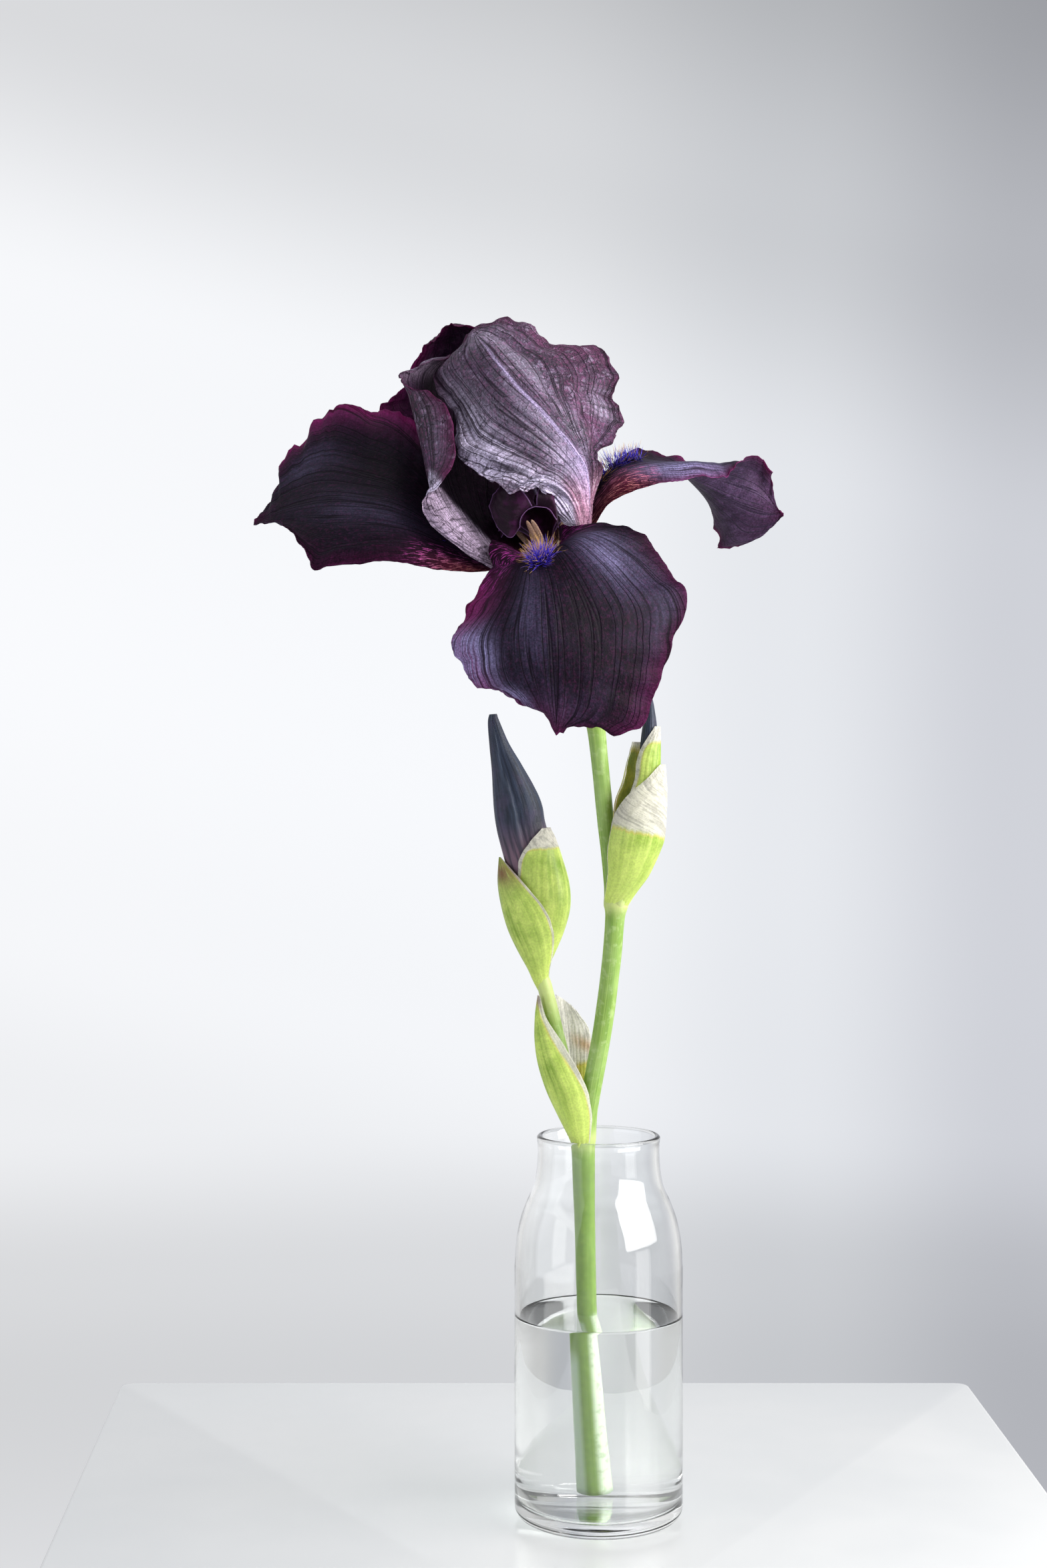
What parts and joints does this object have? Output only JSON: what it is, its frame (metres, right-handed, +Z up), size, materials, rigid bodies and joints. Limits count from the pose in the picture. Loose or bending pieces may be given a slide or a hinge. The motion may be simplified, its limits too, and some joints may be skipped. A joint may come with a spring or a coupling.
{
  "type": "iris in a vase",
  "caption": "Tall bearded iris with an open bloom and closed buds on a jointed stalk, standing in a small clear glass bottle of water.",
  "frame": {"origin": "middle of the vase's flat underside", "axes": "+Z up along the vase; the open bloom faces -Y, and +X is the viewer's right when the bloom is seen from the front"},
  "size_m": [0.1785, 0.1299, 0.4064],
  "materials": {
    "vase_glass": "polished",
    "water": "polished",
    "stalk": "satin",
    "green_sheath": "satin",
    "papery_sheath": "matte",
    "bud_petals": "satin",
    "fall_petal": "matte",
    "standard_petal": "satin",
    "style_arm": "satin",
    "stamen": "matte",
    "beard": "matte"
  },
  "bodies": {
    "root": {"vase": "vase_glass", "water": "water", "stalk": "stalk", "sheath_lower_outer": "green_sheath", "sheath_lower_inner": "papery_sheath", "bud_left_petals": "bud_petals", "bud_right_petals": "bud_petals", "bud_left_sheath_outer": "green_sheath", "bud_left_sheath_inner": "green_sheath", "bud_right_sheath_outer": "green_sheath", "bud_right_sheath_inner": "green_sheath", "bud_right_sheath_back": "papery_sheath", "sheath_top_outer": "papery_sheath", "sheath_top_inner": "green_sheath", "fall_front": "fall_petal", "fall_left": "fall_petal", "fall_right": "fall_petal", "standard_right": "standard_petal", "standard_left": "standard_petal", "standard_back": "standard_petal", "style_arm_front": "style_arm", "style_arm_left": "style_arm", "style_arm_right": "style_arm", "stamen_front": "stamen", "stamen_left": "stamen", "stamen_right": "stamen", "beard_front": "beard", "beard_left": "beard", "beard_right": "beard"}
  },
  "joints": []
}
